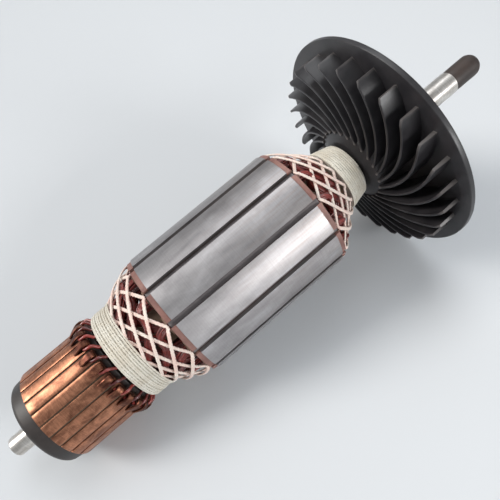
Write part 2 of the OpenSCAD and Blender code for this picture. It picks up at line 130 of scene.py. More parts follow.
class Shade:
    """A material and the few node calls that all of them need."""

    def __init__(self, name, rough, metal=0.0, **sockets):
        self.mat = bpy.data.materials.new(name)
        self.mat.use_nodes = True
        self.tree = self.mat.node_tree
        self.bsdf = self.tree.nodes["Principled BSDF"]
        self.bsdf.inputs["Roughness"].default_value = rough
        self.bsdf.inputs["Metallic"].default_value = metal
        for key, value in sockets.items():
            self.bsdf.inputs[key.replace("_", " ")].default_value = value
        coord = self.tree.nodes.new("ShaderNodeTexCoord")
        local = self.tree.nodes.new("ShaderNodeMapping")
        local.vector_type = "TEXTURE"
        local.inputs["Location"].default_value = tip
        local.inputs["Rotation"].default_value = (0, math.pi / 2 - lie, 0)
        local.inputs["Scale"].default_value = (0.001, 0.001, 0.001)
        self.link(coord.outputs["Object"], local.inputs["Vector"])
        self.local = local.outputs["Vector"]
        self.parts = None

    def link(self, a, b):
        self.tree.links.new(a, b)

    def feed(self, socket, value):
        if isinstance(value, bpy.types.NodeSocket):
            self.link(value, socket)
        else:
            socket.default_value = value

    def math(self, op, a, b=0.0, clamp=False):
        n = self.tree.nodes.new("ShaderNodeMath")
        n.operation = op
        n.use_clamp = clamp
        self.feed(n.inputs[0], a)
        self.feed(n.inputs[1], b)
        return n.outputs[0]

    def split(self):
        """Station and radius in mm, and angle in radians, of the shaded point."""
        if self.parts is None:
            n = self.tree.nodes.new("ShaderNodeSeparateXYZ")
            self.link(self.local, n.inputs[0])
            x, y, z = n.outputs
            square = self.math("ADD", self.math("MULTIPLY", x, x), self.math("MULTIPLY", y, y))
            self.parts = (z, self.math("SQRT", square), self.math("ARCTAN2", y, x))
        return self.parts

    def scaled(self, scale):
        n = self.tree.nodes.new("ShaderNodeMapping")
        self.link(self.local, n.inputs["Vector"])
        n.inputs["Scale"].default_value = scale
        return n.outputs["Vector"]

    def wrapped(self, around, along, deep=1.0):
        """Coordinates round the axis, in mm, scaled around it, along it and through it."""
        z, r, turn = self.split()
        n = self.tree.nodes.new("ShaderNodeCombineXYZ")
        # The angle is taken as a point on a circle, so that there is no seam where it wraps.
        self.link(self.math("MULTIPLY", self.math("COSINE", turn), WRAP_R * around), n.inputs[0])
        self.link(self.math("MULTIPLY", self.math("SINE", turn), WRAP_R * around), n.inputs[1])
        depth = self.math("MULTIPLY", r, deep)
        self.link(self.math("ADD", self.math("MULTIPLY", z, along), depth), n.inputs[2])
        return n.outputs[0]

    def noise(self, vector, scale, detail=4.0, rough=0.55, warp=0.0):
        n = self.tree.nodes.new("ShaderNodeTexNoise")
        self.link(vector, n.inputs["Vector"])
        n.inputs["Scale"].default_value = scale
        n.inputs["Detail"].default_value = detail
        n.inputs["Roughness"].default_value = rough
        n.inputs["Distortion"].default_value = warp
        return n.outputs["Fac"]

    def ramp(self, value, *stops):
        n = self.tree.nodes.new("ShaderNodeValToRGB")
        self.link(value, n.inputs[0])
        while len(n.color_ramp.elements) < len(stops):
            n.color_ramp.elements.new(0.5)
        for e, (pos, color) in zip(n.color_ramp.elements, stops):
            e.position = pos
            e.color = color if isinstance(color, tuple) else (color, color, color, 1)
        return n.outputs[0]

    def blend(self, a, b, factor, kind="MIX"):
        n = self.tree.nodes.new("ShaderNodeMix")
        n.data_type = "RGBA"
        n.blend_type = kind
        self.feed(n.inputs["Factor"], factor)
        self.feed(n.inputs[6], a)
        self.feed(n.inputs[7], b)
        return n.outputs[2]

    def island(self):
        return self.tree.nodes.new("ShaderNodeNewGeometry").outputs["Random Per Island"]

    def pointed(self):
        """1 on outward edges, 0 in hollows, about 0.5 on flats."""
        return self.tree.nodes.new("ShaderNodeNewGeometry").outputs["Pointiness"]

    def color(self, value):
        self.feed(self.bsdf.inputs["Base Color"], value)
        return self

    def rough(self, value, low, high):
        """Roughness from low to high as the value goes from 0 to 1."""
        span = self.math("MULTIPLY", value, high - low)
        self.feed(self.bsdf.inputs["Roughness"], self.math("ADD", span, low))
        return self

    def bump(self, value, height_mm, strength=1.0):
        n = self.tree.nodes.new("ShaderNodeBump")
        n.inputs["Strength"].default_value = strength
        n.inputs["Distance"].default_value = height_mm / 1000
        self.link(value, n.inputs["Height"])
        old = self.bsdf.inputs["Normal"]
        if old.is_linked:
            self.link(old.links[0].from_socket, n.inputs["Normal"])
        self.link(n.outputs[0], old)
        return self


def ground_steel():
    s = Shade("ground_steel", 0.3, 1.0)
    rings = s.noise(s.wrapped(0.02, 3.2, 0.0), 1.0, 3.0)
    stain = s.noise(s.scaled((1, 1, 0.3)), 0.5, 5.0, 0.6)
    s.color(s.blend(
        s.ramp(stain, (0.3, srgb(184, 176, 168)), (0.62, srgb(232, 228, 222))),
        s.ramp(rings, (0.35, 0.82), (0.65, 1.0)), 1.0, "MULTIPLY"))
    s.rough(stain, 0.42, 0.24)
    return s.bump(rings, 0.01, 0.5).mat


def laminated_steel():
    s = Shade("laminated_steel", 0.36, 1.0)
    z, _, _ = s.split()
    sheets = s.noise(s.wrapped(0.004, 2.1, 0.0), 1.0, 1.0, 0.4)
    blotch = s.noise(s.scaled((1, 1, 0.4)), 0.16, 5.0, 0.6, 0.3)
    streak = s.noise(s.wrapped(1.4, 0.045, 0.0), 1.0, 4.0, 0.6)
    specks = s.noise(s.local, 2.4, 2.0)
    # Brown streaks set in 10 mm behind the front face and grow towards the fan.
    brown = s.math("MULTIPLY", s.math("SUBTRACT", z, CORE_Z + 10), 1 / 90, True)
    brown = s.math("MULTIPLY", brown, s.ramp(streak, (0.4, 0.0), (0.7, 0.8)))
    base = s.ramp(
        blotch,
        (0.28, srgb(150, 147, 148)), (0.55, srgb(174, 171, 172)), (0.78, srgb(196, 194, 196)))
    base = s.blend(base, srgb(158, 142, 132), brown)
    base = s.blend(base, s.ramp(sheets, (0.3, 0.93), (0.6, 1.0)), 1.0, "MULTIPLY")
    base = s.blend(base, s.ramp(specks, (0.24, 0.55), (0.34, 1.0)), 0.5, "MULTIPLY")
    s.color(base)
    s.rough(s.blend(blotch, streak, 0.6), 0.34, 0.56)
    return s.bump(sheets, 0.02, 0.25).bump(streak, 0.03, 0.3).mat


def copper():
    s = Shade("copper", 0.34, 1.0)
    z, _, _ = s.split()
    tone = s.island()
    drag = s.noise(s.wrapped(0.35, 5.0, 0.0), 1.0, 4.0, 0.65)
    tarnish = s.noise(s.scaled((1, 1, 0.6)), 0.35, 5.0, 0.6, 0.5)
    base = s.ramp(tone, (0.0, srgb(168, 108, 82)), (0.5, srgb(188, 127, 98)), (1.0, srgb(206, 146, 115)))
    base = s.blend(base, srgb(100, 64, 52), s.ramp(tarnish, (0.4, 0.0), (0.7, 0.8)))
    base = s.blend(base, s.ramp(drag, (0.3, 0.62), (0.62, 1.0)), 1.0, "MULTIPLY")
    # The hooks are burnt dark by the hot pressing, over 4 mm from just in front of their toes.
    burnt = s.math("MULTIPLY", s.math("SUBTRACT", z, BARS_END - 8.5), 0.25, True)
    burnt = s.math("MULTIPLY", burnt, s.ramp(tarnish, (0.3, 0.3), (0.6, 0.95)))
    base = s.blend(base, srgb(84, 50, 42), burnt)
    s.color(base)
    s.rough(drag, 0.3, 0.52)
    return s.bump(drag, 0.03, 0.5).mat


def enamel(name, dark, light):
    """Lacquered wire, each with a tone of its own."""
    s = Shade(name, 0.32, 0.0, Coat_Weight=0.5, Coat_Roughness=0.22, IOR=1.55)
    tone = s.island()
    mottle = s.noise(s.local, 0.5, 3.0)
    s.color(s.blend(
        s.ramp(tone, (0.0, dark), (1.0, light)),
        s.ramp(mottle, (0.3, 0.55), (0.7, 1.0)), 1.0, "MULTIPLY"))
    return s.rough(mottle, 0.25, 0.5).mat


def cord(name, dark, light, pink):
    """Cotton cord, tinted in places by the varnish that it has soaked up."""
    s = Shade(name, 0.75, 0.0, Sheen_Weight=0.2, Sheen_Roughness=0.4)
    fibre = s.noise(s.local, 4.0, 3.0, 0.7)
    soak = s.noise(s.local, 0.2, 4.0, 0.6)
    base = s.ramp(fibre, (0.3, dark), (0.62, light))
    base = s.blend(base, pink, s.ramp(soak, (0.4, 0.0), (0.62, 0.85)))
    s.color(base)
    s.rough(soak, 0.55, 0.85)
    return s.bump(fibre, 0.12, 0.6).mat


def plastic(name, dark, light, rough, grain=0.02, dust_and_painted_light=None):
    """A moulded or pressed material; if asked for, a second colour on its edges and in its hollows, which
    is partly dust and partly painted light.
    """
    s = Shade(name, rough[0], 0.0, IOR=1.5)
    skin = s.noise(s.local, 3.0, 4.0, 0.6)
    cloud = s.noise(s.local, 0.12, 5.0, 0.6)
    base = s.ramp(cloud, (0.3, dark), (0.7, light))
    if dust_and_painted_light:
        # Edges and hollows, found by pointiness, are blended towards the second colour. This is partly
        # painted light: a pale colour paints a highlight on the edges, and a dark one paints shade into the
        # hollows. The pale colour in the hollows stands for dust.
        base = s.blend(base, dust_and_painted_light, s.ramp(s.pointed(), (0.44, 0.35), (0.5, 0.0), (0.56, 0.0), (0.62, 0.4)))
    s.color(base)
    s.rough(cloud, *rough)
    return s.bump(skin, grain, 0.8).mat


MATERIALS = {
    "ground_steel": ground_steel(),
    "laminated_steel": laminated_steel(),
    "copper": copper(),
    "enamelled_wire": enamel("enamelled_wire", srgb(92, 30, 28), srgb(168, 68, 60)),
    "mica": plastic("mica", srgb(70, 56, 44), srgb(104, 86, 66), (0.6, 0.8)),
    # The hub's pale second colour is a painted highlight on its edges, and dust in its hollows.
    "phenolic": plastic(
        "phenolic", srgb(30, 27, 27), srgb(56, 49, 46), (0.35, 0.6), 0.05, srgb(96, 88, 82)),
    # The end plates' dark second colour darkens their edges, and paints shade into their hollows.
    "insulating_plate": plastic(
        "insulating_plate", srgb(122, 78, 70), srgb(188, 142, 130), (0.4, 0.7), 0.1, srgb(70, 44, 40)),
    "slot_paper": plastic(
        "slot_paper", srgb(112, 88, 74), srgb(142, 114, 96), (0.55, 0.75), 0.03),
    "wedge_fibre": plastic(
        "wedge_fibre", srgb(98, 93, 94), srgb(132, 126, 126), (0.5, 0.7), 0.04),
    "insulation_tube": plastic(
        "insulation_tube", srgb(136, 112, 92), srgb(160, 136, 112), (0.5, 0.7)),
    "lacing_cord": cord("lacing_cord", srgb(212, 192, 178), srgb(250, 240, 230), srgb(236, 204, 192)),
    "binding_cord": cord("binding_cord", srgb(190, 185, 172), srgb(232, 228, 216), srgb(206, 198, 182)),
    # The fan's pale second colour is a painted highlight on its blade crests, and dust in its troughs.
    "fan_plastic": plastic(
        "fan_plastic", srgb(28, 27, 30), srgb(50, 48, 50), (0.28, 0.46), 0.03, srgb(168, 160, 156)),
    # The cap's pale second colour is a painted highlight on its edges, and dust in its hollows.
    "cap_plastic": plastic(
        "cap_plastic", srgb(36, 29, 27), srgb(64, 52, 46), (0.4, 0.62), 0.05, srgb(112, 98, 88)),
}


# ---------------------------------------------------------------- meshes
def piece(name, build, slot, replaced, crease):
    """A mesh piece drawn in local mm and laid in place, with sharp edges from crease degrees up."""
    mesh = bpy.data.meshes.new(name)
    mesh.from_pydata([LAY @ v for v in build.verts], [], build.faces)
    mesh.update()
    for p in mesh.polygons:
        p.use_smooth = True
    mesh.materials.append(MATERIALS[slot])
    obj = bpy.data.objects.new(name, mesh)
    bpy.context.scene.collection.objects.link(obj)
    mesh.set_sharp_from_angle(angle=math.radians(crease))
    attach(obj, "root")
    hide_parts(*replaced)


class Build:
    """Vertices and faces collected from several parts of one piece."""

    def __init__(self):
        self.verts, self.faces = [], []

    def add(self, verts, faces):
        base = len(self.verts)
        self.verts += verts
        self.faces += [[base + i for i in f] for f in faces]

    def rings(self, rings, closed=False, caps=True):
        """Skins a list of rings, each the same closed loop of points."""
        k, n = len(rings[0]), len(rings)
        faces = []
        for i in range(n if closed else n - 1):
            a, b = i * k, ((i + 1) % n) * k
            faces += [[a + j, a + (j + 1) % k, b + (j + 1) % k, b + j] for j in range(k)]
        if caps and not closed:
            faces += [list(range(k))[::-1], [(n - 1) * k + j for j in range(k)]]
        self.add([p for ring in rings for p in ring], faces)

    def lathe(self, profile, sides=96, closed=True):
        """Turns a profile of (radius, station) points; points at radius 0 become poles."""
        verts, rows = [], []
        for r, z in profile:
            if r < 1e-6:
                rows.append([len(verts)] * sides)
                verts.append(Vector((0, 0, z)))
            else:
                rows.append(list(range(len(verts), len(verts) + sides)))
                verts += [polar(r, 360 * j / sides, z) for j in range(sides)]
        faces = []
        for i in range(len(rows) if closed else len(rows) - 1):
            a, b = rows[i], rows[(i + 1) % len(rows)]
            for j in range(sides):
                m = (j + 1) % sides
                face = list(dict.fromkeys([a[j], a[m], b[m], b[j]]))
                if len(face) > 2:
                    faces.append(face)
        self.add(verts, faces)


def rounded(corners, steps=4):
    """A closed profile from corners of (radius, station, rounding); rounding 0 leaves one sharp."""
    out, n = [], len(corners)
    points = [Vector((r, z)) for r, z, _ in corners]
    for i, (p, corner) in enumerate(zip(points, corners)):
        size = corner[2]
        if size == 0:
            out.append(tuple(p))
            continue
        a, b = points[i - 1] - p, points[(i + 1) % n] - p
        # A rounding takes less than half of each side, so that neighbours never meet.
        cut = min(size, a.length * 0.49, b.length * 0.49)
        a, b = p + a.normalized() * cut, p + b.normalized() * cut
        for s in range(steps + 1):
            t = s / steps
            out.append(tuple(a * (1 - t) ** 2 + p * 2 * t * (1 - t) + b * t * t))
    return out


def smooth(path, steps, closed=False):
    """Catmull-Rom points through a path."""
    n, out = len(path), []
    for i in range(n if closed else n - 1):
        if closed:
            a, b, c, d = (path[(i + k) % n] for k in (-1, 0, 1, 2))
        else:
            a, b, c, d = path[max(i - 1, 0)], path[i], path[i + 1], path[min(i + 2, n - 1)]
        square = 2 * a - 5 * b + 4 * c - d
        cube = 3 * b - a - 3 * c + d
        for s in range(steps):
            t = s / steps
            out.append(0.5 * (2 * b + (c - a) * t + square * t ** 2 + cube * t ** 3))
    if not closed:
        out.append(path[-1])
    return out


def frames(path, closed, lean=0.0):
    """Point, across and up at each point of a path; up points away from the axis."""
    out, n = [], len(path)
    for i, p in enumerate(path):
        before = path[i - 1] if closed or i else p
        after = path[(i + 1) % n] if closed or i < n - 1 else p
        along = (after - before).normalized()
        outward = Vector((p.x, p.y, 0)).normalized() + Vector((0, 0, lean))
        across = along.cross(outward).normalized()
        out.append((p, across, across.cross(along)))
    return out


def tube(build, path, radius, sides=6, closed=False, lean=0.0):
    circle = [2 * math.pi * j / sides for j in range(sides)]
    build.rings([
        [p + across * radius * math.cos(a) + up * radius * math.sin(a) for a in circle]
        for p, across, up in frames(path, closed, lean)
    ], closed)


def twisted(build, path, width, thick, pitch, closed=False, lean=0.0, plies=3):
    """A laid cord: plies that wind round the path inside an oval of width by thick."""
    gone = [0.0]
    for a, b in zip(path, path[1:]):
        gone.append(gone[-1] + (b - a).length)
    total = gone[-1] + ((path[0] - path[-1]).length if closed else 0)
    turns = total / pitch
    if closed:
        turns = round(turns)
    # The plies are a little thinner than the room they have, so that they read as separate.
    ply = thick / 2 * 0.86
    side, rise = width / 2 - ply, thick / 2 - ply
    for k in range(plies):
        centres = []
        for s, (p, across, up) in zip(gone, frames(path, closed, lean)):
            a = 2 * math.pi * (turns * s / total + k / plies)
            centres.append(p + across * side * math.cos(a) + up * rise * math.sin(a))
        tube(build, centres, ply, 6, closed, lean)


def recolour(name, slot):
    obj = nodes[name]
    obj.data.materials.clear()
    obj.data.materials.append(MATERIALS[slot])


# ---------------------------------------------------------------- camera, floor and light
# The camera hangs over this station, this many metres from the axis, and this many degrees
# forward of straight above it. It looks mostly back at the axis and a little along it.
VIEW_STATION, VIEW_DISTANCE, VIEW_TILT = 96, 0.177, 28
VIEW_DOWN, VIEW_ALONG = 0.993, 0.111
# Slope of the axis in the picture, in degrees.
AXIS_SLANT = 40.1
FOCAL_LENGTH, SENSOR = 31.68, 36
# Middle of the armature, which the lamps face.
CENTRE = station(116)
# Width of the sun in degrees, and half the side of the floor in metres.
SUN_ANGLE, FLOOR_REACH = 21, 4


def camera():
    """Places the camera so that the axis rises to the right as it does in the photo."""
    up_axis = Vector((-math.sin(lie), 0, math.cos(lie)))
    tilt = math.radians(VIEW_TILT)
    near = up_axis * math.cos(tilt) + Vector((0, -1, 0)) * math.sin(tilt)
    place = station(VIEW_STATION) + near * VIEW_DISTANCE
    forward = (axis * VIEW_ALONG - near * VIEW_DOWN).normalized()
    flat = (axis - forward * axis.dot(forward)).normalized()
    down = forward.cross(flat)
    slant = math.radians(AXIS_SLANT)
    right = flat * math.cos(slant) + down * math.sin(slant)
    up = flat * math.sin(slant) - down * math.cos(slant)
    data = bpy.data.cameras.new("camera")
    data.sensor_width = SENSOR
    data.lens = FOCAL_LENGTH
    data.clip_start = 0.005
    cam = bpy.data.objects.new("camera", data)
    cam.matrix_world = Matrix.Translation(place) @ Matrix((right, up, -forward)).transposed().to_4x4()
    bpy.context.scene.collection.objects.link(cam)
    bpy.context.scene.camera = cam


def lamp(name, offset, size, power, tint=(1, 1, 1), spread=180):
    """A soft lamp that faces the object. Without a size it is a sun, which lights the floor evenly."""
    data = bpy.data.lights.new(name, "AREA" if size else "SUN")
    if size:
        data.shape = "RECTANGLE"
        data.size, data.size_y = size
        data.spread = math.radians(spread)
    else:
        data.angle = math.radians(SUN_ANGLE)
    data.energy = power
    data.color = tint
    obj = bpy.data.objects.new(name, data)
    obj.location = CENTRE + offset
    obj.rotation_mode = "QUATERNION"
    obj.rotation_quaternion = (-offset).to_track_quat("-Z", "Y")
    bpy.context.scene.collection.objects.link(obj)


def stage():
    mesh = bpy.data.meshes.new("floor")
    e = FLOOR_REACH
    mesh.from_pydata([(-e, -e, 0), (e, -e, 0), (e, e, 0), (-e, e, 0)], [], [[0, 1, 2, 3]])
    mat = bpy.data.materials.new("floor")
    mat.use_nodes = True
    shader = mat.node_tree.nodes["Principled BSDF"]
    shader.inputs["Base Color"].default_value = (0.6, 0.62, 0.64, 1)
    shader.inputs["Roughness"].default_value = 0.9
    shader.inputs["Specular IOR Level"].default_value = 0.2
    mesh.materials.append(mat)
    floor = bpy.data.objects.new("floor", mesh)
    bpy.context.scene.collection.objects.link(floor)
    world = bpy.data.worlds.new("studio")
    world.use_nodes = True
    world.node_tree.nodes["Background"].inputs["Color"].default_value = (0.94, 0.97, 1.0, 1)
    world.node_tree.nodes["Background"].inputs["Strength"].default_value = 0.42
    bpy.context.scene.world = world
    lamp("key", Vector((-0.62, 0.4, 0.55)), None, 2.4, (1.0, 0.97, 0.93))
    lamp("strip", Vector((0.24, -0.72, 0.34)), (0.46, 0.14), 0.6, spread=70)
    lamp("fill", Vector((0.2, 0.35, 0.85)), (0.6, 0.6), 3.0, (0.94, 0.97, 1.0))


camera()
stage()
bpy.context.scene.view_settings.view_transform = "Standard"


# ---------------------------------------------------------------- shaft
# The centre hole in the tip and the edge round it, as (radius, station).
CENTRE_HOLE = ((0, 1.6), (0.6, 1.0), (1.1, 0.0))
TIP_EDGE = tuple((JOURNAL_R - inset, z) for inset, z in ((1.1, 0.0), (0.45, 0.12), (0.1, 0.5), (0, 1.0)))
SHOULDER_EDGE, SPIGOT_EDGE = 0.3, 1.0
# The cap's clearance from the seat's surface, its rounded mouth and its rounded crown.
CAP_STEP, MOUTH_TAPER, CAP_TAPER_LEN, CROWN = 0.1, 0.25, 2.2, 1.6


def shaft():
    b = Build()
    b.lathe([
        *CENTRE_HOLE, *TIP_EDGE, (JOURNAL_R, COLLAR_Z),
        (SHAFT_R, COLLAR_Z), (SHAFT_R, FAN_END - SHOULDER_EDGE), (SHAFT_R - SHOULDER_EDGE, FAN_END),
        (DRIVE_R, FAN_END), (DRIVE_R, CAP_Z),
        (JOURNAL_R, CAP_Z), (JOURNAL_R, SPIGOT_END - SPIGOT_EDGE), (JOURNAL_R - SPIGOT_EDGE, SPIGOT_END),
        (0, SPIGOT_END),
    ], 128, closed=False)
    piece("steel_shaft", b, "ground_steel", ["shaft"], 25)


def end_cap():
    b = Build()
    cap_r = DRIVE_R - CAP_STEP
    b.lathe(rounded([
        (JOURNAL_R, CAP_Z, 0), (cap_r - MOUTH_TAPER, CAP_Z, 0.3),
        (cap_r, CAP_Z + CAP_TAPER_LEN, 1.0), (cap_r, SHAFT_LEN - CAP_TAPER_LEN, 1.6),
        (cap_r - CROWN, SHAFT_LEN, 1.2), (0, SHAFT_LEN, 0),
        (0, SPIGOT_END, 0), (JOURNAL_R - SPIGOT_EDGE, SPIGOT_END, 0),
        (JOURNAL_R, SPIGOT_END - SPIGOT_EDGE, 0),
    ], 5))
    piece("end_cap", b, "cap_plastic", ["shaft_end_cap"], 40)


# ---------------------------------------------------------------- commutator
# The recess round the shaft in the collar's face, and the slope at the collar's edge.
RECESS_W, RECESS_DEPTH = 2.0, 1.0
COLLAR_ROUND, COLLAR_SLOPE, COLLAR_STEP, COLLAR_LIP = 2.6, 1.3, 1.2, 0.8
# Where a bar's visible part ends below its surface, at its two ends and between them.
END_LOW_R, MIDDLE_LOW_R, FOOT_TOP_R = COPPER_R - 2.2, COPPER_R - 3.0, COPPER_R - 2.8
# The hook's spine from the bar's end to its toe: height over the copper, distance in front
# of the bar's end, and how much of the bar's own lift it takes.
HOOK_SPINE = (
    (-0.9, 0.62, 0), (0.2, 0.52, 0), (1.1, 0.72, 0), (1.56, 1.7, 1),
    (1.45, 3.0, 1), (0.95, 4.4, 0), (0.5, 5.6, 0), (0.22, 6.3, 0),
)
# Section of the hook, in shares of its half width and half thickness. Both taper to the toe.
HOOK_SECTION = (
    (-1, -0.55), (-0.75, -1), (0.75, -1), (1, -0.55), (1, 0.55), (0.75, 1), (-0.75, 1), (-1, 0.55),
)
HOOK_HALF_W, TOE_HALF_W, W_TAPER = 1.22, 0.8, 0.55
HOOK_HALF_T, TOE_HALF_T, T_TAPER = 0.46, 0.3, 0.7
WIRE_BACK, WIRE_CLEARANCE = 2.3, 0.02


def commutator_hub():
    b = Build()
    b.lathe(rounded([
        (SHAFT_R, HUB_END, 0), (SHAFT_R, COLLAR_Z + RECESS_DEPTH, 0.3), (SHAFT_R + RECESS_W, COLLAR_Z, 0.5),
        (COPPER_R - COLLAR_ROUND, COLLAR_Z, 0.8), (COPPER_R - COLLAR_SLOPE, COLLAR_Z + COLLAR_STEP, 0.8),
        (COPPER_R - COLLAR_LIP, BARS_Z, 0),
        (NECK_R, BARS_Z, 0), (NOTCH_R, BARS_Z + NOTCH, 0), (BARB_R, BARS_Z + FOOT_INSET, 0),
        (FOOT_R, BARS_Z + FOOT_INSET, 0), (FOOT_R, BARS_END - FOOT_INSET, 0),
        (BARB_R, BARS_END - FOOT_INSET, 0), (NOTCH_R, BARS_END - NOTCH, 0), (NECK_R, BARS_END, 0),
        (NECK_R, HUB_END, 0.4),
    ]), 128)
    piece("moulded_hub", b, "phenolic", ["commutator_hub"], 40)


def bar_stops(wear):
    """Station, top radius and edge rounding along a bar, whose middle the brushes have worn."""
    return [
        (BARS_Z + 0.02, COPPER_R - 0.35, 0.25), (BARS_Z + 0.12, COPPER_R - 0.12, 0.25),
        (BARS_Z + 0.4, COPPER_R - 0.02, 0.22), (BARS_Z + 3.0, COPPER_R, 0.2),
        (BARS_Z + 3.6, COPPER_R - wear, 0.2), (BARS_END - 10.0, COPPER_R - wear, 0.2),
        (BARS_END - 9.4, COPPER_R, 0.2), (BARS_END - 0.3, COPPER_R, 0.25),
        (BARS_END, COPPER_R - 0.3, 0.3),
    ]


def bar_ring(half, top, low, edge, steps=4):
    """Section of a bar as (radius, angle) points, its upper corners rounded by edge."""
    turn = math.degrees(edge / top)
    arc = (0, math.pi / 4, math.pi / 2)
    corner = [(top - edge * (1 - math.sin(a)), turn * (1 - math.cos(a))) for a in arc]
    ring = [(low, -half)]
    ring += [(r, a - half) for r, a in corner]
    ring += [(top, mix(turn - half, half - turn, i / steps)) for i in range(1, steps)]
    ring += [(r, half - a) for r, a in reversed(corner)]
    return ring + [(low, half)]


def late(t, start):
    """0 up to start, then rising to 1 at the end."""
    return max(0, t - start) / (1 - start)


def hook(b, mid, lift, skew):
    """The bar's tang, folded back over the lead wire and pressed onto the bar."""
    spine = smooth([
        Vector((COPPER_R + rise + share * lift, BARS_END - back)) for rise, back, share in HOOK_SPINE
    ], 4)
    rings = []
    for k, p in enumerate(spine):
        before, after = spine[max(k - 1, 0)], spine[min(k + 1, len(spine) - 1)]
        along = (after - before).normalized()
        normal = Vector((along.y, -along.x))
        t = k / (len(spine) - 1)
        wide = mix(HOOK_HALF_W, TOE_HALF_W, late(t, W_TAPER))
        thick = mix(HOOK_HALF_T, TOE_HALF_T, late(t, T_TAPER))
        ring = []
        for u, v in HOOK_SECTION:
            q = p + normal * v * thick
            ring.append(polar(q.x, mid + skew * t + math.degrees(u * wide / COPPER_R), q.y))
        rings.append(ring)
    b.rings(rings)


def commutator_bar(i):
    b = Build()
    mid = BAR_TURN + (i + 1) * BAR_PITCH
    half = BAR_PITCH / 2 - math.degrees(MICA_GAP / COPPER_R) / 2
    wear = rng.uniform(0.02, 0.08)
    rings = []
    for z, top, edge in bar_stops(wear):
        low = END_LOW_R if z < BARS_Z + 0.2 or z > BARS_END - 0.2 else MIDDLE_LOW_R
        rings.append([polar(r, mid + a, z) for r, a in bar_ring(half, top, low, edge)])
    b.rings(rings)
    foot = [
        polar(r, mid + a, z)
        for z in (BARS_Z + FOOT_INSET, BARS_END - FOOT_INSET)
        for r, a in ((FOOT_TOP_R, -half), (FOOT_TOP_R, half), (FOOT_R, half), (FOOT_R, -half))
    ]
    b.add(foot, [[0, 1, 2, 3], [7, 6, 5, 4], [0, 4, 5, 1], [1, 5, 6, 2], [2, 6, 7, 3], [3, 7, 4, 0]])
    lift = rng.uniform(-0.08, 0.05)
    skew = rng.uniform(-0.6, 0.6)
    hook(b, mid, lift, skew)
    node = "commutator_bar_%02d" % (i + 1)
    piece("copper_bar_%02d" % (i + 1), b, "copper", [node], 32)


def lead_wires():
    """One wire for each bar, from its hook down to the winding under the band."""
    b = Build()
    seat_r, seat_z = COPPER_R + LEAD_D / 2 + WIRE_CLEARANCE, BARS_END - WIRE_BACK
    # Radius, angle from the bar, station, and which of the wire's jogs it takes, and how much.
    route = (
        (seat_r, -4, seat_z, 0, 0),
        (seat_r, 4.5, seat_z, 0, 0),
        (COPPER_R + 0.75, 7, BARS_END + 0.4, 0, 0.4),
        (LEAD_R + 0.4, 10, BAND_Z - 1, 1, 0.7),
        (LEAD_R, 12, BAND_Z, 1, 0.7),
        (LEAD_R, 21, BAND_END - 1, 2, 1),
    )
    for i in range(BARS):
        start = BAR_TURN + (i + 1) * BAR_PITCH
        jogs = [rng.uniform(-1.4, 1.4) for _ in range(3)]
        path = [polar(r, start + angle + share * jogs[k], z) for r, angle, z, k, share in route]
        tube(b, smooth(path, 5), LEAD_D / 2, 10)
    piece("red_leads", b, "enamelled_wire", ["lead_wires"], 60)


# ---------------------------------------------------------------- pieces that keep their CAD mesh
CAD_LOOKS = {
    "mica_strips": "mica",
    "lamination_stack": "laminated_steel",
    "front_end_plate": "insulating_plate",
    "rear_end_plate": "insulating_plate",
    "slot_wedges": "wedge_fibre",
    "slot_liners": "slot_paper",
    "shaft_insulation_tube": "insulation_tube",
}
CORE_EDGE = 0.00018


def cad_pieces():
    for name, slot in CAD_LOOKS.items():
        recolour(name, slot)
    edge = nodes["lamination_stack"].modifiers.new("edge", "BEVEL")
    edge.width, edge.segments, edge.limit_method = CORE_EDGE, 2, "ANGLE"
    edge.angle_limit = math.radians(40)
    edge.harden_normals = False


# ---------------------------------------------------------------- winding
# Shares of the way from slot to nose at which an end turn has its points.
END_STEPS = (0, 0.2, 0.5, 0.8, 0.95)
SPINE_STEPS = 6
FRONT_TURN_Z, REAR_TURN_Z = FRONT_FACE - SLOT_EXIT, REAR_FACE + SLOT_EXIT
# At the nose the outer layer dips and the inner one rises, so that they meet in a round bend.
OUTER_PINCH, INNER_PINCH = 0.4, 0.6
# The bundle is sampled again at this spacing and rounded this many times.
BUNDLE_STEP, BUNDLE_PASSES = 2.2, 3
# Rows of wires in a bundle: height as a share of its half height, count, and share of its width.
WIRE_ROWS = ((-0.62, 4, 0.86), (0, 5, 1), (0.62, 4, 0.86))
WIRE_REACH, WIRE_R, WIRE_WAVES = 0.74, 0.42, 3

# One end of the winding: the station it starts from, which way it goes, its length, the radii
# of the two layers at the nose, how they droop towards it, and the bundle's size there.
Overhang = namedtuple("Overhang", "start way length outer_r inner_r droop width height")
OVERHANGS = (
    Overhang(FRONT_TURN_Z, -1, FRONT_TURN_Z - BAND_Z - 1.4, TUBE_R + 6.2, TUBE_R + 2.5, 1, 3.8, 3.0),
    Overhang(REAR_TURN_Z, 1, REAR_BAND_Z - 2.4 - REAR_TURN_Z, TUBE_R + 4.7, TUBE_R + 1.6, 0.8, 2.9, 2.4),
)


def end_turn(end):
    """Points of an end turn, from the outer layer of a slot over the nose to the inner layer."""
    def point(slot_r, nose_r, pinch, t, angle):
        r = mix(slot_r, nose_r, t ** end.droop) + (pinch if t >= END_STEPS[-1] else 0)
        return polar(r, angle, end.start + end.way * end.length * t)
    out = [point(COIL_TOP_R, end.outer_r, -OUTER_PINCH, t, HALF_SPAN * t) for t in END_STEPS]
    out.append(polar((end.outer_r + end.inner_r) / 2, HALF_SPAN, end.start + end.way * end.length))
    out += [
        point(COIL_LOW_R, end.inner_r, INNER_PINCH, t, 2 * HALF_SPAN - HALF_SPAN * t)
        for t in reversed(END_STEPS)
    ]
    return out


